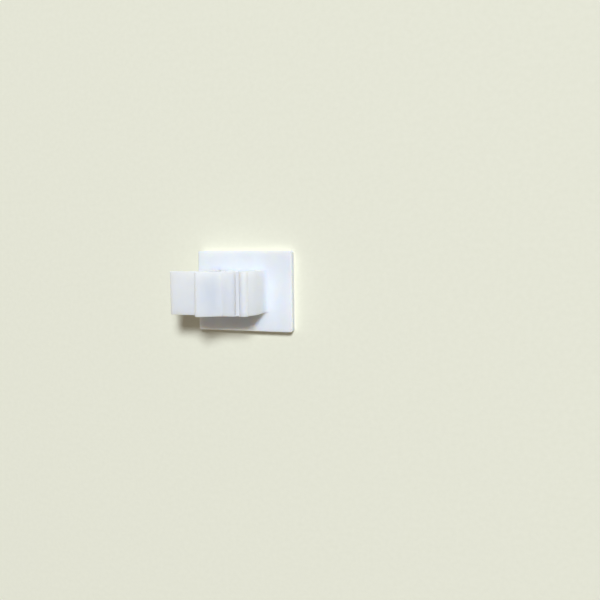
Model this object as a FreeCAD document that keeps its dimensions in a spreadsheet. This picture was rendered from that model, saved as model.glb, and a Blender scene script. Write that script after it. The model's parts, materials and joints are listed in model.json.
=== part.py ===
import FreeCAD, Part
import os

import Sketcher

# A self-adhesive clip for an 8 mm tube: a base plate on foam tape, and a ring-shaped clamp across it.
# The right half of the ring is fixed. The closing strap turns on a thin web at the top of that half, and
# its hook snaps under a catch on the flexible latch arm at the left. All lengths are in millimetres.
# The origin is on the wall side of the tape, under the middle of the tube. +X runs from the latch to the
# hinge, +Y along the tube and +Z out of the wall. An angle in the ring is counted about the tube's centre
# from +X towards +Z.

doc = FreeCAD.newDocument("tube_clip")
sheet = doc.addObject("Spreadsheet::Sheet", "Sizes")

DRIVING_SIZES = (
    ("tube_diameter", "8.0", "outside diameter of the tube that the clip holds"),
    ("tube_clearance", "0.1", "gap all round between the tube and the closed ring"),
    ("ring_thickness", "1.1", "thickness of the ring, which is also that of the closing strap"),
    ("clamp_width", "10.2", "length of the clamp along the tube"),
    ("seat_thickness", "0.4", "plastic between the plate and the lowest line of the seat"),
    ("plate_length", "24.0", "base plate across the tube"),
    ("plate_width", "19.2", "base plate along the tube"),
    ("plate_thickness", "1.4", "thickness of the base plate"),
    ("plate_corner_radius", "0.5", "radius of the plate's four corners"),
    ("plate_edge_radius", "0.3", "rounding of the plate's front edge"),
    ("tape_inset", "0.05", "how far the foam tape stays inside the plate's outline"),
    ("foam_thickness", "0.7", "foam core of the tape"),
    ("adhesive_thickness", "0.1", "one adhesive film of the tape"),
    ("jaw_end_angle", "61", "angle of the fixed jaw's end face"),
    ("bead_radius", "1.0", "radius of the round bead on the jaw beside the hinge"),
    ("jaw_foot_radius", "1.2", "flare where the jaw meets the plate"),
    ("seat_split_angle", "45", "angle under the centre where jaw and saddle meet"),
    ("saddle_rim_angle", "205", "angle of the saddle's rim on the latch side"),
    ("saddle_rim_width", "0.5", "width of the saddle's rim"),
    ("saddle_spread", "0.45", "how far the saddle's outer side spreads towards the plate"),
    ("web_end_angle", "69", "angle where the hinge web ends and the strap begins"),
    ("web_thickness", "0.35", "thickness of the hinge web"),
    ("web_recess", "0.1", "how far the web lies under the strap's outer surface"),
    ("hook_angle", "150", "angle where the strap's ring ends and its hook begins"),
    ("hook_tip_angle", "163", "angle of the hook's lower end"),
    ("hook_tip_width", "0.45", "width of the hook's lower end"),
    ("barb_reach", "0.85", "how far the barb stands out of the strap"),
    ("barb_tip_height", "0.25", "height of the barb's blunt tip"),
    ("lip_rise_angle", "30", "slope of the finger lip over the plate"),
    ("lip_inset", "1.65", "how far the lip's outer face lies inside the ring's tangent of that slope"),
    ("lip_overhang", "4.75", "how far the lip's free end stands out of the ring along its slope"),
    ("lip_thickness", "1.0", "thickness of the finger lip"),
    ("lip_outer_fillet", "1.2", "rounding between the strap and the lip's outer face"),
    ("lip_under_fillet", "0.6", "rounding between the strap and the lip's under side"),
    ("latch_space", "0.65", "room between the strap's outer surface and the latch arm"),
    ("latch_thickness", "1.0", "thickness of the latch arm"),
    ("root_height", "1.0", "height of the thin root that the latch arm bends at"),
    ("root_thickness", "0.8", "thickness of the latch arm's root"),
    ("catch_reach", "1.15", "how far the catch stands out of the latch arm"),
    ("catch_gap", "0.1", "gap between the closed barb and the catch"),
    ("catch_height", "1.6", "height of the catch where it leaves the latch arm"),
    ("catch_tip_height", "0.25", "height of the catch's blunt tip"),
    ("tab_length", "8.4", "release tab from the latch arm to its free end"),
    ("tab_thickness", "1.1", "thickness of the release tab"),
    ("tab_fillet", "0.8", "rounding under the tab where it leaves the latch arm"),
)
for row, (alias, value, meaning) in enumerate(DRIVING_SIZES, start=1):
    sheet.set(f"A{row}", meaning)
    sheet.set(f"B{row}", value)
    sheet.setAlias(f"B{row}", alias)
doc.recompute()

# Sizes that follow from the driving ones, as expressions that the sketches are bound to.
PLATE_BOTTOM = "(2 * Sizes.adhesive_thickness + Sizes.foam_thickness)"
PLATE_TOP = f"({PLATE_BOTTOM} + Sizes.plate_thickness)"
RING_INNER = "(Sizes.tube_diameter / 2 + Sizes.tube_clearance)"
RING_OUTER = f"({RING_INNER} + Sizes.ring_thickness)"
CENTRE_HEIGHT = f"({PLATE_TOP} + Sizes.seat_thickness + {RING_INNER})"
WEB_OUTER = f"({RING_OUTER} - Sizes.web_recess)"
WEB_INNER = f"({WEB_OUTER} - Sizes.web_thickness)"
LATCH_INNER_X = f"(-({RING_OUTER}) - Sizes.latch_space)"
LATCH_OUTER_X = f"({LATCH_INNER_X} - Sizes.latch_thickness)"
BARB_TOP = f"({CENTRE_HEIGHT} + {RING_OUTER} * sin(Sizes.hook_angle))"
CATCH_UNDER = f"({BARB_TOP} + Sizes.catch_gap)"
LATCH_TOP = f"({CATCH_UNDER} + Sizes.catch_height)"
LIP_ABOVE = f"({RING_OUTER} - Sizes.lip_inset)"
LIP_ALONG = f"({RING_OUTER} + Sizes.lip_overhang)"


def on_ring(radius, angle):
    """The point at a radius and an angle about the tube's centre."""
    return f"{radius} * cos({angle})", f"{CENTRE_HEIGHT} + {radius} * sin({angle})"


def on_lip(along, above):
    """The point at distances along and square to the lip's slope from the tube's centre."""
    rise = "Sizes.lip_rise_angle"
    x = f"({above}) * sin({rise}) - ({along}) * cos({rise})"
    z = f"{CENTRE_HEIGHT} + ({along}) * sin({rise}) + ({above}) * cos({rise})"
    return x, z


def line_to(point):
    """A straight edge from the outline's last point."""
    return point, None, None


def arc_to(point, through, radius):
    """A round edge of a named radius from the outline's last point, by way of another."""
    return point, through, radius


def number(expression):
    """The value that an expression has now."""
    return float(sheet.evalExpression(expression))


def vector(point):
    """The sketch position of a point that is given as two expressions."""
    return FreeCAD.Vector(number(point[0]), number(point[1]), 0)


def bound_sketch(body, plane_role, outline):
    """A closed sketch whose corners and radii are bound to expressions."""
    sketch = body.newObject("Sketcher::SketchObject", body.Name + "_outline")
    plane = next(item for item in body.Origin.OriginFeatures if item.Role == plane_role)
    sketch.AttachmentSupport = [(plane, "")]
    sketch.MapMode = "FlatFace"
    count = len(outline)
    starts = [outline[index - 1][0] for index in range(count)]
    clockwise = []
    for start, (end, through, radius) in zip(starts, outline):
        first = vector(start)
        last = vector(end)
        if through is None:
            sketch.addGeometry(Part.LineSegment(first, last))
            clockwise.append(False)
            continue
        middle = vector(through)
        turns_right = (middle - first).cross(last - first).z < 0
        if turns_right:
            sketch.addGeometry(Part.Arc(last, middle, first))
        else:
            sketch.addGeometry(Part.Arc(first, middle, last))
        clockwise.append(turns_right)
    for index in range(count):
        after = (index + 1) % count
        end_corner = 1 if clockwise[index] else 2
        start_corner = 2 if clockwise[after] else 1
        sketch.addConstraint(Sketcher.Constraint("Coincident", index, end_corner, after, start_corner))
    for index, (start, (end, through, radius)) in enumerate(zip(starts, outline)):
        corner = 2 if clockwise[index] else 1
        for kind, expression in (("DistanceX", start[0]), ("DistanceY", start[1])):
            place = Sketcher.Constraint(kind, -1, 1, index, corner, number(expression))
            row = sketch.addConstraint(place)
            sketch.setExpression(f"Constraints[{row}]", expression)
        if radius is not None:
            row = sketch.addConstraint(Sketcher.Constraint("Radius", index, number(radius)))
            sketch.setExpression(f"Constraints[{row}]", radius)
    return sketch


def moulded_section(label, outline):
    """A piece of the clamp: one outline across the tube, as wide as the clamp."""
    body = doc.addObject("PartDesign::Body", label)
    body.Label = label
    pad = body.newObject("PartDesign::Pad", label + "_pad")
    pad.Profile = bound_sketch(body, "XZ_Plane", outline)
    pad.SideType = "Symmetric"
    pad.setExpression("Length", "Sizes.clamp_width")
    body.Tip = pad
    return body


def rounded_sheet(label, inset, bottom, thickness):
    """A flat sheet with the plate's outline, drawn in by an inset."""
    half_x = f"(Sizes.plate_length / 2 - {inset})"
    half_y = f"(Sizes.plate_width / 2 - {inset})"
    radius = f"(Sizes.plate_corner_radius - {inset})"
    cut = f"{radius} * (1 - cos(45))"
    outline = []
    for sign_x, sign_y, turns_from_side in ((1, 1, True), (-1, 1, False), (-1, -1, True), (1, -1, False)):
        side = (f"{sign_x} * {half_x}", f"{sign_y} * ({half_y} - {radius})")
        end = (f"{sign_x} * ({half_x} - {radius})", f"{sign_y} * {half_y}")
        middle = (f"{sign_x} * ({half_x} - {cut})", f"{sign_y} * ({half_y} - {cut})")
        first, last = (side, end) if turns_from_side else (end, side)
        outline.append(line_to(first))
        outline.append(arc_to(last, middle, radius))
    body = doc.addObject("PartDesign::Body", label)
    body.Label = label
    sketch = bound_sketch(body, "XY_Plane", outline)
    sketch.setExpression("AttachmentOffset.Base.z", bottom)
    pad = body.newObject("PartDesign::Pad", label + "_pad")
    pad.Profile = sketch
    pad.setExpression("Length", thickness)
    body.Tip = pad
    return body


def make_tape():
    """The foam tape: a foam core between two adhesive films."""
    film = "Sizes.adhesive_thickness"
    wall_film = rounded_sheet("wall_adhesive", "Sizes.tape_inset", "0 * Sizes.adhesive_thickness", film)
    foam = rounded_sheet("foam_pad", "Sizes.tape_inset", film, "Sizes.foam_thickness")
    plate_film = rounded_sheet("plate_adhesive", "Sizes.tape_inset", f"{film} + Sizes.foam_thickness", film)
    return [wall_film, foam, plate_film]


def make_base_plate():
    """The plate, with its front edge rounded."""
    zero_inset = "0 * Sizes.tape_inset"
    body = rounded_sheet("base_plate", zero_inset, PLATE_BOTTOM, "Sizes.plate_thickness")
    doc.recompute()
    pad = body.Tip
    front = number(PLATE_TOP)
    tolerance = number("Sizes.plate_edge_radius") / 100
    names = []
    for index, edge in enumerate(pad.Shape.Edges, start=1):
        if abs(edge.BoundBox.ZMin - front) < tolerance and abs(edge.BoundBox.ZMax - front) < tolerance:
            names.append(f"Edge{index}")
    fillet = body.newObject("PartDesign::Fillet", "base_plate_front_edge")
    fillet.Base = (pad, names)
    fillet.setExpression("Radius", "Sizes.plate_edge_radius")
    body.Tip = fillet
    return body


def make_fixed_jaw():
    """The right side of the ring, from the plate up to the hinge, with a bead along its end."""
    split_x, split_z = on_ring(RING_INNER, "-Sizes.seat_split_angle")
    bead_half_angle = f"(2 * asin(Sizes.bead_radius / (2 * {RING_OUTER})) / 1 deg)"
    bead_angle = f"(Sizes.jaw_end_angle - {bead_half_angle})"
    bead_end_angle = f"({bead_angle} - {bead_half_angle})"
    bead_peak = on_ring(f"({RING_OUTER} + Sizes.bead_radius)", bead_angle)

    def on_bead(direction):
        centre_x, centre_z = on_ring(RING_OUTER, bead_angle)
        x = f"{centre_x} + Sizes.bead_radius * cos({direction})"
        z = f"{centre_z} + Sizes.bead_radius * sin({direction})"
        return x, z

    jaw_end = "Sizes.jaw_end_angle"
    bow_angle = f"({jaw_end} - Sizes.seat_split_angle) / 2"
    foot = "Sizes.jaw_foot_radius"
    foot_bow = f"{foot} * (1 - cos(45))"
    return moulded_section("fixed_jaw", [
        line_to((split_x, split_z)),
        arc_to(on_ring(RING_INNER, jaw_end), on_ring(RING_INNER, bow_angle), RING_INNER),
        line_to(on_ring(RING_OUTER, jaw_end)),
        arc_to(bead_peak, on_bead(f"{bead_angle} + 45"), "Sizes.bead_radius"),
        arc_to(on_ring(RING_OUTER, bead_end_angle), on_bead(f"{bead_angle} - 45"), "Sizes.bead_radius"),
        arc_to((RING_OUTER, CENTRE_HEIGHT), on_ring(RING_OUTER, f"({bead_end_angle} / 2)"), RING_OUTER),
        line_to((RING_OUTER, f"{PLATE_TOP} + {foot}")),
        arc_to(
            (f"{RING_OUTER} + {foot}", PLATE_TOP),
            (f"{RING_OUTER} + {foot_bow}", f"{PLATE_TOP} + {foot_bow}"),
            foot,
        ),
        line_to((split_x, PLATE_TOP)),
    ])


def make_tube_saddle():
    """The seat under the tube, up to a rim on the latch side."""
    split_x, split_z = on_ring(RING_INNER, "-Sizes.seat_split_angle")
    rim_inner = on_ring(RING_INNER, "Sizes.saddle_rim_angle")
    rim_outer = on_ring(f"({RING_INNER} + Sizes.saddle_rim_width)", "Sizes.saddle_rim_angle")
    return moulded_section("tube_saddle", [
        line_to((split_x, split_z)),
        arc_to(rim_inner, on_ring(RING_INNER, "270"), RING_INNER),
        line_to(rim_outer),
        line_to((f"{rim_outer[0]} - Sizes.saddle_spread", PLATE_TOP)),
        line_to((split_x, PLATE_TOP)),
    ])


def ring_stretch(label, inner, outer, start_angle, end_angle):
    """A stretch of a ring about the tube's centre between two angles."""
    middle = f"(({start_angle} + {end_angle}) / 2)"
    return moulded_section(label, [
        line_to(on_ring(outer, start_angle)),
        arc_to(on_ring(outer, end_angle), on_ring(outer, middle), outer),
        line_to(on_ring(inner, end_angle)),
        arc_to(on_ring(inner, start_angle), on_ring(inner, middle), inner),
    ])


def make_finger_lip():
    """The lip that leaves the strap's back and rises over the latch, with rounded roots and end."""
    top = LIP_ABOVE
    under = f"({top} - Sizes.lip_thickness)"
    end_radius = "(Sizes.lip_thickness / 2)"
    end_along = f"({LIP_ALONG} - {end_radius})"
    outer_fillet = "Sizes.lip_outer_fillet"
    under_fillet = "Sizes.lip_under_fillet"
    outer_along = f"sqrt(({RING_OUTER} + {outer_fillet})^2 - ({top} + {outer_fillet})^2)"
    under_along = f"sqrt(({RING_OUTER} + {under_fillet})^2 - ({under} - {under_fillet})^2)"
    outer_share = f"({RING_OUTER} / ({RING_OUTER} + {outer_fillet}))"
    under_share = f"({RING_OUTER} / ({RING_OUTER} + {under_fillet}))"
    outer_angle = f"(atan(({top} + {outer_fillet}) / {outer_along}) / 1 deg)"
    under_angle = f"(atan(({under} - {under_fillet}) / {under_along}) / 1 deg)"
    outer_half_turn = f"((90 - {outer_angle}) / 2)"
    under_half_turn = f"((90 + {under_angle}) / 2)"
    ring_outer_point = on_lip(f"{outer_share} * {outer_along}", f"{outer_share} * ({top} + {outer_fillet})")
    ring_under_point = on_lip(
        f"{under_share} * {under_along}", f"{under_share} * ({under} - {under_fillet})"
    )
    ring_middle = f"(({outer_angle} + {under_angle}) / 2)"
    return moulded_section("finger_lip", [
        line_to(on_lip(end_along, top)),
        arc_to(
            on_lip(LIP_ALONG, f"{top} - {end_radius}"),
            on_lip(f"{end_along} + {end_radius} * cos(45)", f"{top} - {end_radius} * (1 - sin(45))"),
            end_radius,
        ),
        arc_to(
            on_lip(end_along, under),
            on_lip(f"{end_along} + {end_radius} * cos(45)", f"{under} + {end_radius} * (1 - sin(45))"),
            end_radius,
        ),
        line_to(on_lip(under_along, under)),
        arc_to(
            ring_under_point,
            on_lip(
                f"{under_along} - {under_fillet} * sin({under_half_turn})",
                f"{under} - {under_fillet} + {under_fillet} * cos({under_half_turn})",
            ),
            under_fillet,
        ),
        arc_to(
            ring_outer_point,
            on_lip(f"{RING_OUTER} * cos({ring_middle})", f"{RING_OUTER} * sin({ring_middle})"),
            RING_OUTER,
        ),
        arc_to(
            on_lip(outer_along, top),
            on_lip(
                f"{outer_along} - {outer_fillet} * sin({outer_half_turn})",
                f"{top} + {outer_fillet} - {outer_fillet} * cos({outer_half_turn})",
            ),
            outer_fillet,
        ),
    ])


def make_strap_hook():
    """The strap's end: a short leg inside the latch, with a barb that faces it."""
    barb_x = f"{RING_OUTER} * cos(Sizes.hook_angle) - Sizes.barb_reach"
    tip_x, tip_z = on_ring(RING_INNER, "Sizes.hook_tip_angle")
    middle = "((Sizes.hook_angle + Sizes.hook_tip_angle) / 2)"
    return moulded_section("strap_hook", [
        line_to(on_ring(RING_OUTER, "Sizes.hook_angle")),
        line_to((barb_x, BARB_TOP)),
        line_to((barb_x, f"{BARB_TOP} - Sizes.barb_tip_height")),
        line_to((f"{tip_x} - Sizes.hook_tip_width", tip_z)),
        line_to((tip_x, tip_z)),
        arc_to(on_ring(RING_INNER, "Sizes.hook_angle"), on_ring(RING_INNER, middle), RING_INNER),
    ])


def make_latch_root():
    """The thin foot on the plate that the latch arm bends at."""
    middle_x = f"({LATCH_INNER_X} + {LATCH_OUTER_X}) / 2"
    inner_x = f"{middle_x} + Sizes.root_thickness / 2"
    outer_x = f"{middle_x} - Sizes.root_thickness / 2"
    top = f"{PLATE_TOP} + Sizes.root_height"
    return moulded_section("latch_root", [
        line_to((inner_x, PLATE_TOP)),
        line_to((inner_x, top)),
        line_to((outer_x, top)),
        line_to((outer_x, PLATE_TOP)),
    ])


def make_latch_arm():
    """The upright arm of the latch."""
    bottom = f"{PLATE_TOP} + Sizes.root_height"
    return moulded_section("latch_arm", [
        line_to((LATCH_INNER_X, bottom)),
        line_to((LATCH_INNER_X, LATCH_TOP)),
        line_to((LATCH_OUTER_X, LATCH_TOP)),
        line_to((LATCH_OUTER_X, bottom)),
    ])


def make_latch_catch():
    """The nose on the latch arm that holds the barb down, sloped so that the barb can snap past it."""
    tip_x = f"{LATCH_INNER_X} + Sizes.catch_reach"
    return moulded_section("latch_catch", [
        line_to((LATCH_INNER_X, CATCH_UNDER)),
        line_to((tip_x, CATCH_UNDER)),
        line_to((tip_x, f"{CATCH_UNDER} + Sizes.catch_tip_height")),
        line_to((LATCH_INNER_X, LATCH_TOP)),
    ])


def make_release_tab():
    """The tab that a thumb presses to bend the latch arm outward."""
    under = f"({LATCH_TOP} - Sizes.tab_thickness)"
    end_radius = "(Sizes.tab_thickness / 2)"
    end_bow = f"{end_radius} * (1 - cos(45))"
    end_x = f"({LATCH_OUTER_X} - Sizes.tab_length)"
    fillet = "Sizes.tab_fillet"
    bow = f"{fillet} * (1 - cos(45))"
    return moulded_section("release_tab", [
        line_to((LATCH_OUTER_X, LATCH_TOP)),
        line_to((f"{end_x} + {end_radius}", LATCH_TOP)),
        arc_to(
            (end_x, f"{LATCH_TOP} - {end_radius}"),
            (f"{end_x} + {end_bow}", f"{LATCH_TOP} - {end_bow}"),
            end_radius,
        ),
        arc_to(
            (f"{end_x} + {end_radius}", under),
            (f"{end_x} + {end_bow}", f"{under} + {end_bow}"),
            end_radius,
        ),
        line_to((f"{LATCH_OUTER_X} - {fillet}", under)),
        arc_to(
            (LATCH_OUTER_X, f"{under} - {fillet}"),
            (f"{LATCH_OUTER_X} - {bow}", f"{under} - {bow}"),
            fillet,
        ),
    ])


sub_parts = make_tape()
sub_parts.append(make_base_plate())
sub_parts.append(make_tube_saddle())
sub_parts.append(make_fixed_jaw())
sub_parts.append(ring_stretch(
    "hinge_web", WEB_INNER, WEB_OUTER, "Sizes.jaw_end_angle", "Sizes.web_end_angle"
))
sub_parts.append(ring_stretch(
    "closing_strap", RING_INNER, RING_OUTER, "Sizes.web_end_angle", "Sizes.hook_angle"
))
sub_parts.append(make_finger_lip())
sub_parts.append(make_strap_hook())
sub_parts.append(make_latch_root())
sub_parts.append(make_latch_arm())
sub_parts.append(make_latch_catch())
sub_parts.append(make_release_tab())

doc.recompute()
for item in doc.Objects:
    if "Invalid" in item.State or "Error" in item.State:
        raise RuntimeError(f"{item.Label} failed: {item.State}")
for part in sub_parts:
    if part.Shape.isNull() or not part.Shape.isValid() or len(part.Shape.Solids) != 1:
        raise RuntimeError(f"{part.Label} is not one valid solid")

os.makedirs("parts", exist_ok=True)
for part in sub_parts:
    part.Shape.exportStep(f"parts/{part.Label}.step")
    print(f"{part.Label}: {part.Shape.Volume:.3f} mm3")

hinge_angle = "((Sizes.jaw_end_angle + Sizes.web_end_angle) / 2)"
hinge_x, hinge_z = on_ring(f"(({WEB_INNER} + {WEB_OUTER}) / 2)", hinge_angle)
latch_x = f"({LATCH_INNER_X} + {LATCH_OUTER_X}) / 2"
latch_z = f"{PLATE_TOP} + Sizes.root_height / 2"
print(f"strap hinge axis: x {number(hinge_x):.4f}, z {number(hinge_z):.4f}")
print(f"latch bending axis: x {number(latch_x):.4f}, z {number(latch_z):.4f}")
print(f"tube centre: z {number(CENTRE_HEIGHT):.4f}, ring's inner radius {number(RING_INNER):.4f}")
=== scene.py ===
import json
import math

import bmesh
import bpy
from mathutils import Matrix, Vector


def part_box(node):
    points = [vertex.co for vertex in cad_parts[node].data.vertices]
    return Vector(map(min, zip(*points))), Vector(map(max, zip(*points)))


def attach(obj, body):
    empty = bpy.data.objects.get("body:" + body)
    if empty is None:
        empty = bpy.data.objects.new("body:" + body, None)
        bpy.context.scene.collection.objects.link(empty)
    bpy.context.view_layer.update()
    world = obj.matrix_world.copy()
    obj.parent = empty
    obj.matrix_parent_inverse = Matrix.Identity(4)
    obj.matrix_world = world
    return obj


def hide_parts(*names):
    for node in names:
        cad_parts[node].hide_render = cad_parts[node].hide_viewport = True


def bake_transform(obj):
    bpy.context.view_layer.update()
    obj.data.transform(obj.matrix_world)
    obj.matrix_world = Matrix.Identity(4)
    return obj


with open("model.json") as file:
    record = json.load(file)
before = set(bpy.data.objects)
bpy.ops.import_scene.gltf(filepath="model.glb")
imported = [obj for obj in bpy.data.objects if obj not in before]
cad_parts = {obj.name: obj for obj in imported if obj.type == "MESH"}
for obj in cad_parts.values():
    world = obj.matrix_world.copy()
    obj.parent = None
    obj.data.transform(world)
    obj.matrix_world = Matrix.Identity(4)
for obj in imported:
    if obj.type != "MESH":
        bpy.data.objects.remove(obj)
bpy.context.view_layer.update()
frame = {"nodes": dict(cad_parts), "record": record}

# A white nylon tube clip on foam tape. It lies on a pale floor with the tape down, and is seen as in the
# photograph. Lengths are in metres, and MM turns a number of millimetres into them. +X runs from the latch
# to the hinge, +Y along the tube and +Z away from the floor.
MM = 0.001

# Places that the frame gives.
SEAT = next(mount for mount in frame["record"]["mounts"] if mount["name"] == "tube_seat")
CENTRE = Vector(SEAT["pos_m"])
RING_CENTRE = Vector((CENTRE.x, CENTRE.z))
RING_INNER = SEAT["dims"]["r_mm"] * MM
RING_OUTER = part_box("closing_strap")[1].z - CENTRE.z
PLATE_LOW, PLATE_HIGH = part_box("base_plate")
PLATE_TOP = PLATE_HIGH.z
CLAMP_LOW, CLAMP_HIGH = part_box("fixed_jaw")
ARM_LOW, ARM_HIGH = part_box("latch_arm")
ROOT_LOW, ROOT_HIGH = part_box("latch_root")
CATCH_LOW, CATCH_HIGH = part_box("latch_catch")
FOAM_LOW, FOAM_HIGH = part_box("foam_pad")
HOOK_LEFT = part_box("strap_hook")[0].x
TAB_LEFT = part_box("release_tab")[0].x

# The moulding's own sizes, as in the part. Angles are in degrees, and those of places on the ring are
# counted about the tube's centre, from +X towards +Z.
JAW_END_ANGLE = 61
WEB_END_ANGLE = 69
HOOK_ANGLE = 150
HOOK_TIP_ANGLE = 163
SADDLE_RIM_ANGLE = 205
SADDLE_RIM_WIDTH = 0.5 * MM
SADDLE_SPREAD = 0.45 * MM
BEAD_RADIUS = 1.0 * MM
JAW_FOOT_RADIUS = 1.2 * MM
WEB_THICKNESS = 0.35 * MM
WEB_RECESS = 0.1 * MM
HOOK_TIP_WIDTH = 0.45 * MM
BARB_TIP_HEIGHT = 0.25 * MM
CATCH_TIP_HEIGHT = 0.25 * MM
LIP_RISE_ANGLE = 30
LIP_ABOVE = RING_OUTER - 1.65 * MM
LIP_ALONG = RING_OUTER + 4.75 * MM
LIP_THICKNESS = 1.0 * MM
LIP_OUTER_FILLET = 1.2 * MM
LIP_UNDER_FILLET = 0.6 * MM
TAB_THICKNESS = 1.1 * MM
TAB_FILLET = 0.8 * MM
PLATE_CORNER_RADIUS = 0.5 * MM

# What only the scene has: rounded edges, a gap over the tape's film, how far pieces reach into others, and
# the root's rows. The jaw's foot ends short of 270 degrees, so it meets the plate at a clear angle.
MOULD_EDGE = 0.1 * MM
MOULD_EDGE_STEPS = 3
SHARP_ANGLE = 35
TAPE_CLEARANCE = 0.01 * MM
SUNK_INTO_PLATE = 0.3 * MM
WEB_OVERLAP_ANGLE = 1
ROOT_ROWS = 10
FOOT_END_ANGLE = 262

# How finely arcs are drawn, in degrees between points or in stretches, and how near is the same point.
ARC_STEP = 4
SMALL_ARC_STEP = 10
CORNER_STEP = 6
WEB_STEP = 1
LIP_ARC_STRETCHES = 12
SAME_POINT = 0.0001 * MM


def along(angle):
    """The unit direction at an angle in the ring's plane, as x and z."""
    turn = math.radians(angle)
    return Vector((math.cos(turn), math.sin(turn)))


def arc(centre, radius, start, end, step=ARC_STEP):
    """Points along an arc, both ends included."""
    count = max(2, math.ceil(abs(end - start) / step))
    return [centre + radius * along(start + (end - start) * index / count) for index in range(count + 1)]


def joined(*stretches):
    """One closed outline from its stretches, without points that repeat."""
    points = []
    for stretch in stretches:
        for point in stretch:
            if not points or (point - points[-1]).length > SAME_POINT:
                points.append(point)
    if (points[0] - points[-1]).length < SAME_POINT:
        points.pop()
    return points


def lip_point(distance, height):
    """A point by its distances along and square to the lip's slope from the tube's centre."""
    slope = along(180 - LIP_RISE_ANGLE)
    upright = along(90 - LIP_RISE_ANGLE)
    return RING_CENTRE + slope * distance + upright * height


def lip_arc(distance, height, radius, start, end):
    """An arc whose angles are counted from the lip's slope towards its outer side."""
    turns = [start + (end - start) * index / LIP_ARC_STRETCHES for index in range(LIP_ARC_STRETCHES + 1)]
    return [lip_point(distance + radius * along(turn).x, height + radius * along(turn).y) for turn in turns]


def lip_fillet_place(height, radius):
    """How far along the slope a fillet between ring and lip has its centre, and at which turn from it."""
    distance = math.sqrt((RING_OUTER + radius) ** 2 - height ** 2)
    return distance, math.degrees(math.atan2(height, distance))


def strap_outline():
    """The ring stretch, the lip that leaves its back and the hook at its end."""
    outer_centre = LIP_ABOVE + LIP_OUTER_FILLET
    outer_along, outer_turn = lip_fillet_place(outer_centre, LIP_OUTER_FILLET)
    under_centre = LIP_ABOVE - LIP_THICKNESS - LIP_UNDER_FILLET
    under_along, under_turn = lip_fillet_place(under_centre, LIP_UNDER_FILLET)
    outer_ring_angle = 180 - LIP_RISE_ANGLE - outer_turn
    under_ring_angle = 180 - LIP_RISE_ANGLE - under_turn
    end_radius = LIP_THICKNESS / 2
    end_along = LIP_ALONG - end_radius
    hook_tip = RING_CENTRE + RING_INNER * along(HOOK_TIP_ANGLE)
    barb_top = RING_CENTRE + RING_OUTER * along(HOOK_ANGLE)
    return joined(
        [RING_CENTRE + RING_INNER * along(WEB_END_ANGLE)],
        arc(RING_CENTRE, RING_OUTER, WEB_END_ANGLE, outer_ring_angle),
        lip_arc(outer_along, outer_centre, LIP_OUTER_FILLET, 180 + outer_turn, 270),
        lip_arc(end_along, LIP_ABOVE - end_radius, end_radius, 90, -90),
        lip_arc(under_along, under_centre, LIP_UNDER_FILLET, 90, 180 + under_turn),
        arc(RING_CENTRE, RING_OUTER, under_ring_angle, HOOK_ANGLE),
        [Vector((HOOK_LEFT, barb_top.y)), Vector((HOOK_LEFT, barb_top.y - BARB_TIP_HEIGHT))],
        [hook_tip - Vector((HOOK_TIP_WIDTH, 0))],
        arc(RING_CENTRE, RING_INNER, HOOK_TIP_ANGLE, WEB_END_ANGLE),
    )


def base_outline():
    """The saddle and the fixed jaw with its bead, reaching a little into the plate."""
    bead_half_turn = math.degrees(2 * math.asin(BEAD_RADIUS / (2 * RING_OUTER)))
    bead_angle = JAW_END_ANGLE - bead_half_turn
    bead_centre = RING_CENTRE + RING_OUTER * along(bead_angle)
    bead_start = RING_CENTRE + RING_OUTER * along(JAW_END_ANGLE)
    bead_turn = math.degrees(math.atan2(*(bead_start - bead_centre).yx)) - bead_angle
    rim = RING_CENTRE + (RING_INNER + SADDLE_RIM_WIDTH) * along(SADDLE_RIM_ANGLE)
    foot_centre = Vector((CENTRE.x + RING_OUTER + JAW_FOOT_RADIUS, PLATE_TOP + JAW_FOOT_RADIUS))
    sunk = PLATE_TOP - SUNK_INTO_PLATE
    return joined(
        arc(RING_CENTRE, RING_INNER, SADDLE_RIM_ANGLE, 360 + JAW_END_ANGLE),
        arc(bead_centre, BEAD_RADIUS, bead_angle + bead_turn, bead_angle - bead_turn, SMALL_ARC_STEP),
        arc(RING_CENTRE, RING_OUTER, bead_angle - bead_half_turn, 0),
        arc(foot_centre, JAW_FOOT_RADIUS, 180, FOOT_END_ANGLE, SMALL_ARC_STEP),
        [Vector((foot_centre.x, sunk))],
        [Vector((rim.x - SADDLE_SPREAD, sunk)), Vector((rim.x - SADDLE_SPREAD, PLATE_TOP)), rim],
    )


def latch_outline():
    """The latch arm with its catch and the release tab."""
    under = ARM_HIGH.z - TAB_THICKNESS
    end_radius = TAB_THICKNESS / 2
    tip_x = CATCH_HIGH.x
    return joined(
        [Vector((ARM_HIGH.x, ARM_LOW.z)), Vector((ARM_HIGH.x, CATCH_LOW.z)), Vector((tip_x, CATCH_LOW.z))],
        [Vector((tip_x, CATCH_LOW.z + CATCH_TIP_HEIGHT)), Vector((ARM_HIGH.x, ARM_HIGH.z))],
        arc(Vector((TAB_LEFT + end_radius, ARM_HIGH.z - end_radius)), end_radius, 90, 270, SMALL_ARC_STEP),
        arc(Vector((ARM_LOW.x - TAB_FILLET, under - TAB_FILLET)), TAB_FILLET, 90, 0, SMALL_ARC_STEP),
        [Vector((ARM_LOW.x, ARM_LOW.z))],
    )


def web_outline():
    """The web's stretch of ring, reaching a little into the jaw and the strap."""
    radius = RING_OUTER - WEB_RECESS
    start = JAW_END_ANGLE - WEB_OVERLAP_ANGLE
    end = WEB_END_ANGLE + WEB_OVERLAP_ANGLE
    outside = arc(RING_CENTRE, radius, start, end, WEB_STEP)
    inside = arc(RING_CENTRE, radius - WEB_THICKNESS, end, start, WEB_STEP)
    return joined(outside, inside)


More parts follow.
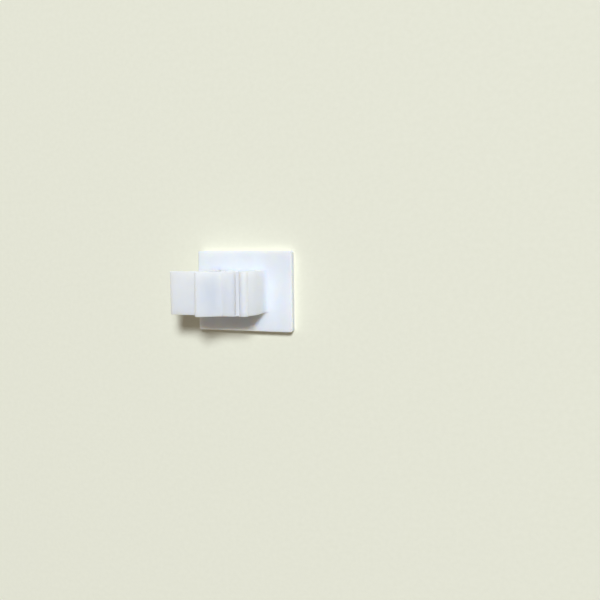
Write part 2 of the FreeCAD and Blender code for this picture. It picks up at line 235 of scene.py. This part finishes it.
def root_outline():
    """The latch root in rows that can bend, reaching a little into the plate and the arm."""
    bottom = ROOT_LOW.z - MOULD_EDGE
    top = ROOT_HIGH.z + MOULD_EDGE
    heights = [bottom + (top - bottom) * row / ROOT_ROWS for row in range(ROOT_ROWS + 1)]
    right = [Vector((ROOT_HIGH.x, height)) for height in heights]
    left = [Vector((ROOT_LOW.x, height)) for height in reversed(heights)]
    return right + left


def plate_outline(low, high):
    """A rectangle with rounded corners, as x and y."""
    outline = []
    for x, y, start in ((high.x, high.y, 0), (low.x, high.y, 90), (low.x, low.y, 180), (high.x, low.y, 270)):
        inward = Vector((math.copysign(PLATE_CORNER_RADIUS, -x), math.copysign(PLATE_CORNER_RADIUS, -y)))
        outline += arc(Vector((x, y)) + inward, PLATE_CORNER_RADIUS, start, start + 90, CORNER_STEP)
    return outline


def new_object(name, data):
    """An object in the scene for a mesh, lamp or camera."""
    thing = bpy.data.objects.new(name, data)
    bpy.context.scene.collection.objects.link(thing)
    return thing


def prism(name, near_points, far_points):
    """A solid between two outlines that have their points in the same order."""
    mesh = bmesh.new()
    near = [mesh.verts.new(point) for point in near_points]
    far = [mesh.verts.new(point) for point in far_points]
    mesh.faces.new(near)
    mesh.faces.new(reversed(far))
    for index in range(len(near)):
        after = (index + 1) % len(near)
        mesh.faces.new((near[index], far[index], far[after], near[after]))
    bmesh.ops.recalc_face_normals(mesh, faces=mesh.faces)
    data = bpy.data.meshes.new(name)
    mesh.to_mesh(data)
    mesh.free()
    return new_object(name, data)


def across(name, outline, low_y, high_y):
    """A solid whose outline in x and z runs along the tube from low_y to high_y."""
    near = [(point.x, low_y, point.y) for point in outline]
    return prism(name, near, [(x, high_y, z) for x, _, z in near])


def plate_solid(name, low, high):
    """A flat block with rounded corners."""
    bottom = [(point.x, point.y, low.z) for point in plate_outline(low, high)]
    return prism(name, bottom, [(x, y, high.z) for x, y, _ in bottom])


def settle(thing):
    """Applies the object's modifiers to its mesh."""
    graph = bpy.context.evaluated_depsgraph_get()
    finished = bpy.data.meshes.new_from_object(thing.evaluated_get(graph), depsgraph=graph)
    finished.name = thing.name
    thing.modifiers.clear()
    thing.data = finished


def merge(thing, other):
    """Joins another solid, which overlaps, to the first one."""
    union = thing.modifiers.new("union", "BOOLEAN")
    union.operation = "UNION"
    union.solver = "EXACT"
    union.object = other
    settle(thing)
    bpy.data.objects.remove(other)


def round_edges(thing):
    """Rounds every sharp edge as a mould does, and shades the result smoothly."""
    rounding = thing.modifiers.new("edges", "BEVEL")
    rounding.limit_method = "ANGLE"
    rounding.angle_limit = math.radians(SHARP_ANGLE)
    rounding.width = MOULD_EDGE
    rounding.segments = MOULD_EDGE_STEPS
    rounding.harden_normals = True
    rounding.use_clamp_overlap = True
    thing.data.shade_smooth()
    settle(thing)


# Materials. A noise has its scale in features to the metre, its detail and its roughness. A bump has its
# strength and depth. Tones, roughnesses and depths are pairs, for the low and the high end of what they
# follow, and a span says where these ends are.
NOISE_SPAN = (0.3, 0.7)
NYLON_CLOUDS = (260, 3.0, 0.5)
NYLON_WAVES = (700, 2.0, 0.5)
NYLON_SKIN = (9000, 2.0, 0.6)
NYLON_TONES = ((0.857, 0.868, 0.883), (0.890, 0.898, 0.906))
# The web's tones are darker than the nylon's: painted shade for the dark groove of the thin hinge web.
WEB_SHADED_TONES = ((0.67, 0.69, 0.725), (0.71, 0.73, 0.75))
ROOT_TONES = ((0.78, 0.795, 0.82), (0.82, 0.83, 0.845))
NYLON_ROUGHNESS = (0.42, 0.58)
WAVE_BUMP = (0.12, 0.03 * MM)
SKIN_BUMP = (0.10, 0.006 * MM)
NYLON_INDEX = 1.53
SCATTER_RADIUS = (1.35, 1.04, 0.72)
SCATTER_DEPTHS = (2.0 * MM, 5.8 * MM)
SCATTER_SPAN = (PLATE_TOP, PLATE_TOP + JAW_FOOT_RADIUS)
FOAM_CELL_SCALE = 5200
FOAM_CELL_SPAN = (0.05, 0.6)
FOAM_TONES = ((0.90, 0.905, 0.90), (0.96, 0.965, 0.96))
FOAM_ROUGHNESS = (0.95, 0.80)
CELL_BUMP = (0.6, 0.06 * MM)
ADHESIVE_PEEL = (2400, 3.0, 0.5)
ADHESIVE_STREAKS = (420, 2.0, 0.5)
ADHESIVE_TONES = ((0.92, 0.915, 0.88), (0.95, 0.945, 0.92))
ADHESIVE_ROUGHNESS = (0.16, 0.34)
PEEL_BUMP = (0.3, 0.02 * MM)
CARD_GRAIN = (900, 3.0, 0.5)
CARD_TONES = ((0.820, 0.815, 0.668), (0.840, 0.835, 0.688))
CARD_ROUGHNESS = 0.9
CARD_SPECULAR = 0.2


def new_material(name):
    """A node material with its tree, its shader and the object's own coordinates."""
    material = bpy.data.materials.new(name)
    material.use_nodes = True
    tree = material.node_tree
    coordinates = tree.nodes.new("ShaderNodeTexCoord").outputs["Object"]
    return material, tree, tree.nodes["Principled BSDF"], coordinates


def noise(tree, coordinates, settings):
    """A noise texture from its scale, detail and roughness."""
    texture = tree.nodes.new("ShaderNodeTexNoise")
    for socket, number in zip(("Scale", "Detail", "Roughness"), settings):
        texture.inputs[socket].default_value = number
    tree.links.new(coordinates, texture.inputs["Vector"])
    return texture.outputs["Fac"]


def height_of(tree, coordinates):
    """The z of some coordinates."""
    parts = tree.nodes.new("ShaderNodeSeparateXYZ")
    tree.links.new(coordinates, parts.inputs["Vector"])
    return parts.outputs["Z"]


def ramp(tree, value, span, tones):
    """A value over a span turned into two tones and their blend."""
    node = tree.nodes.new("ShaderNodeValToRGB")
    for stop, position, tone in zip(node.color_ramp.elements, span, tones):
        stop.position = position
        stop.color = (*tone, 1)
    tree.links.new(value, node.inputs["Fac"])
    return node.outputs["Color"]


def spread(tree, value, ends, span=(0, 1)):
    """A value over a span turned into a number between two ends."""
    node = tree.nodes.new("ShaderNodeMapRange")
    for socket, number in zip(("From Min", "From Max", "To Min", "To Max"), (*span, *ends)):
        node.inputs[socket].default_value = number
    tree.links.new(value, node.inputs["Value"])
    return node.outputs["Result"]


def bumped(tree, shader, *heights):
    """Bumps the surface by heights, each a value with its bump."""
    normal = None
    for value, (strength, depth) in heights:
        bump = tree.nodes.new("ShaderNodeBump")
        bump.inputs["Strength"].default_value = strength
        bump.inputs["Distance"].default_value = depth
        tree.links.new(value, bump.inputs["Height"])
        if normal is not None:
            tree.links.new(normal, bump.inputs["Normal"])
        normal = bump.outputs["Normal"]
    tree.links.new(normal, shader.inputs["Normal"])


def nylon_material(name, tones, scatters):
    """Natural white nylon with a satin skin from the mould. Where it scatters light, the light goes deeper in
    the thin walls than in the plate, which has white tape behind it."""
    material, tree, shader, coordinates = new_material(name)
    clouds = noise(tree, coordinates, NYLON_CLOUDS)
    skin = noise(tree, coordinates, NYLON_SKIN)
    waves = noise(tree, coordinates, NYLON_WAVES)
    tree.links.new(ramp(tree, clouds, NOISE_SPAN, tones), shader.inputs["Base Color"])
    tree.links.new(spread(tree, waves, NYLON_ROUGHNESS), shader.inputs["Roughness"])
    shader.inputs["IOR"].default_value = NYLON_INDEX
    if scatters:
        depth = spread(tree, height_of(tree, coordinates), SCATTER_DEPTHS, SCATTER_SPAN)
        tree.links.new(depth, shader.inputs["Subsurface Scale"])
        shader.inputs["Subsurface Weight"].default_value = 1.0
        shader.inputs["Subsurface Radius"].default_value = SCATTER_RADIUS
    bumped(tree, shader, (waves, WAVE_BUMP), (skin, SKIN_BUMP))
    return material


def foam_material():
    """White closed-cell foam of the tape."""
    material, tree, shader, coordinates = new_material("foam")
    texture = tree.nodes.new("ShaderNodeTexVoronoi")
    texture.inputs["Scale"].default_value = FOAM_CELL_SCALE
    tree.links.new(coordinates, texture.inputs["Vector"])
    cells = texture.outputs["Distance"]
    tree.links.new(ramp(tree, cells, FOAM_CELL_SPAN, FOAM_TONES), shader.inputs["Base Color"])
    tree.links.new(spread(tree, cells, FOAM_ROUGHNESS), shader.inputs["Roughness"])
    bumped(tree, shader, (cells, CELL_BUMP))
    return material


def adhesive_material():
    """Clear, slightly yellow acrylic adhesive, glossy with a fine orange peel."""
    material, tree, shader, coordinates = new_material("adhesive")
    peel = noise(tree, coordinates, ADHESIVE_PEEL)
    streaks = noise(tree, coordinates, ADHESIVE_STREAKS)
    tree.links.new(ramp(tree, streaks, NOISE_SPAN, ADHESIVE_TONES), shader.inputs["Base Color"])
    tree.links.new(spread(tree, peel, ADHESIVE_ROUGHNESS), shader.inputs["Roughness"])
    bumped(tree, shader, (peel, PEEL_BUMP))
    return material


def floor_material():
    """A plain pale card."""
    material, tree, shader, coordinates = new_material("pale_card")
    grain = noise(tree, coordinates, CARD_GRAIN)
    tree.links.new(ramp(tree, grain, NOISE_SPAN, CARD_TONES), shader.inputs["Base Color"])
    shader.inputs["Roughness"].default_value = CARD_ROUGHNESS
    shader.inputs["Specular IOR Level"].default_value = CARD_SPECULAR
    return material


NYLON = nylon_material("nylon", NYLON_TONES, True)
# The hinge web's nylon does not scatter, and its darker tone is painted shade for the groove.
NYLON_WEB_SHADED = nylon_material("nylon_web_painted_shade", WEB_SHADED_TONES, False)
NYLON_ROOT = nylon_material("nylon_root", ROOT_TONES, False)
FOAM = foam_material()
ADHESIVE = adhesive_material()


def dress(thing, material):
    """Gives a piece its material."""
    thing.data.materials.clear()
    thing.data.materials.append(material)


# The clip's pieces.


def make_base():
    """Plate, saddle and jaw as one moulding."""
    base = plate_solid("base_moulding", PLATE_LOW + Vector((0, 0, TAPE_CLEARANCE)), PLATE_HIGH)
    merge(base, across("clamp_seat", base_outline(), CLAMP_LOW.y, CLAMP_HIGH.y))
    round_edges(base)
    dress(base, NYLON)
    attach(base, "base")
    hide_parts("base_plate", "tube_saddle", "fixed_jaw")


def make_strap():
    """Strap, lip and hook as one moulding."""
    strap = across("strap_moulding", strap_outline(), CLAMP_LOW.y, CLAMP_HIGH.y)
    round_edges(strap)
    dress(strap, NYLON)
    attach(strap, "strap")
    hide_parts("closing_strap", "finger_lip", "strap_hook")


def make_latch():
    """Latch arm, catch and release tab as one moulding."""
    latch = across("latch_moulding", latch_outline(), ARM_LOW.y, ARM_HIGH.y)
    round_edges(latch)
    dress(latch, NYLON)
    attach(latch, "latch")
    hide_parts("latch_arm", "latch_catch", "release_tab")


def make_hinge_web():
    """The thin web that bends between the jaw and the strap."""
    web = across("hinge_web_skin", web_outline(), CLAMP_LOW.y + MOULD_EDGE, CLAMP_HIGH.y - MOULD_EDGE)
    web.data.shade_smooth()
    web.data.set_sharp_from_angle(angle=math.radians(SHARP_ANGLE))
    # The web's darker nylon is painted shade in the hinge groove.
    dress(web, NYLON_WEB_SHADED)
    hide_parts("hinge_web")
    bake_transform(web)


def make_latch_root():
    """The thin foot that bends between the plate and the latch arm."""
    root = across("latch_root_skin", root_outline(), ROOT_LOW.y + MOULD_EDGE, ROOT_HIGH.y - MOULD_EDGE)
    dress(root, NYLON_ROOT)
    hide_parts("latch_root")
    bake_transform(root)


def make_tape():
    """The foam pad as its own piece, and the two adhesive films."""
    pad = plate_solid("foam_core", FOAM_LOW, FOAM_HIGH)
    dress(pad, FOAM)
    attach(pad, "base")
    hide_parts("foam_pad")
    for name in ("wall_adhesive", "plate_adhesive"):
        film = frame["nodes"][name]
        film.data.materials.clear()
        film.data.materials.append(ADHESIVE)


make_base()
make_strap()
make_latch()
make_hinge_web()
make_latch_root()
make_tape()

# The stage: a pale floor under the tape, one soft lamp at the upper right, and a dim surround that is
# warmer and brighter towards the floor. The lamp's power is in watts.
FLOOR_REACH = 1.3
KEY_PLACE = (1.83, 2.67, 5.04)
KEY_WIDTH = 1.26
KEY_POWER = 356.4
KEY_COLOUR = (0.87, 0.925, 1.0)
SURROUND_SPAN = (0.05, 0.6)
SURROUND_TONES = ((0.59, 0.54, 0.47), (0.15, 0.122, 0.102))

floor_mesh = bpy.data.meshes.new("floor")
corners = [(x * FLOOR_REACH, y * FLOOR_REACH, 0) for x, y in ((-1, -1), (1, -1), (1, 1), (-1, 1))]
floor_mesh.from_pydata(corners, [], [range(len(corners))])
floor = new_object("floor", floor_mesh)
floor.data.materials.append(floor_material())

key = bpy.data.lights.new("key", "AREA")
key.size = KEY_WIDTH
key.energy = KEY_POWER
key.color = KEY_COLOUR
lamp = new_object("key", key)
lamp.location = KEY_PLACE
lamp.rotation_euler = (CENTRE - Vector(KEY_PLACE)).to_track_quat("-Z", "Y").to_euler()

world = bpy.data.worlds.new("studio")
bpy.context.scene.world = world
world.use_nodes = True
sky = world.node_tree
direction = sky.nodes.new("ShaderNodeTexCoord").outputs["Generated"]
surround = ramp(sky, height_of(sky, direction), SURROUND_SPAN, SURROUND_TONES)
sky.links.new(surround, sky.nodes["Background"].inputs["Color"])

# The camera, fitted to the clip's outline in the photograph. Its place is counted from the tube's middle
# and the plate's front face, its turns are in radians, and it sees from NEAREST to FARTHEST.
CAMERA_PLACE = (64.75 * MM, 12.64 * MM, PLATE_TOP + 152.97 * MM)
CAMERA_YAW = 0.320
CAMERA_PITCH = -0.090
CAMERA_ROLL = -0.010
FOCAL_PIXELS = 692.4
PHOTO_PIXELS = 600
SENSOR_WIDTH = 36.0
NEAREST = 5 * MM
FARTHEST = 10.0

camera_data = bpy.data.cameras.new("camera")
camera_data.sensor_width = SENSOR_WIDTH
camera_data.lens = SENSOR_WIDTH * FOCAL_PIXELS / PHOTO_PIXELS
camera_data.clip_start = NEAREST
camera_data.clip_end = FARTHEST
camera = new_object("camera", camera_data)
turned = Matrix.Rotation(CAMERA_YAW, 4, "Y") @ Matrix.Rotation(CAMERA_PITCH, 4, "X")
camera.matrix_world = Matrix.Translation(CAMERA_PLACE) @ turned @ Matrix.Rotation(CAMERA_ROLL, 4, "Z")
bpy.context.scene.camera = camera
bpy.context.scene.view_settings.view_transform = "Standard"
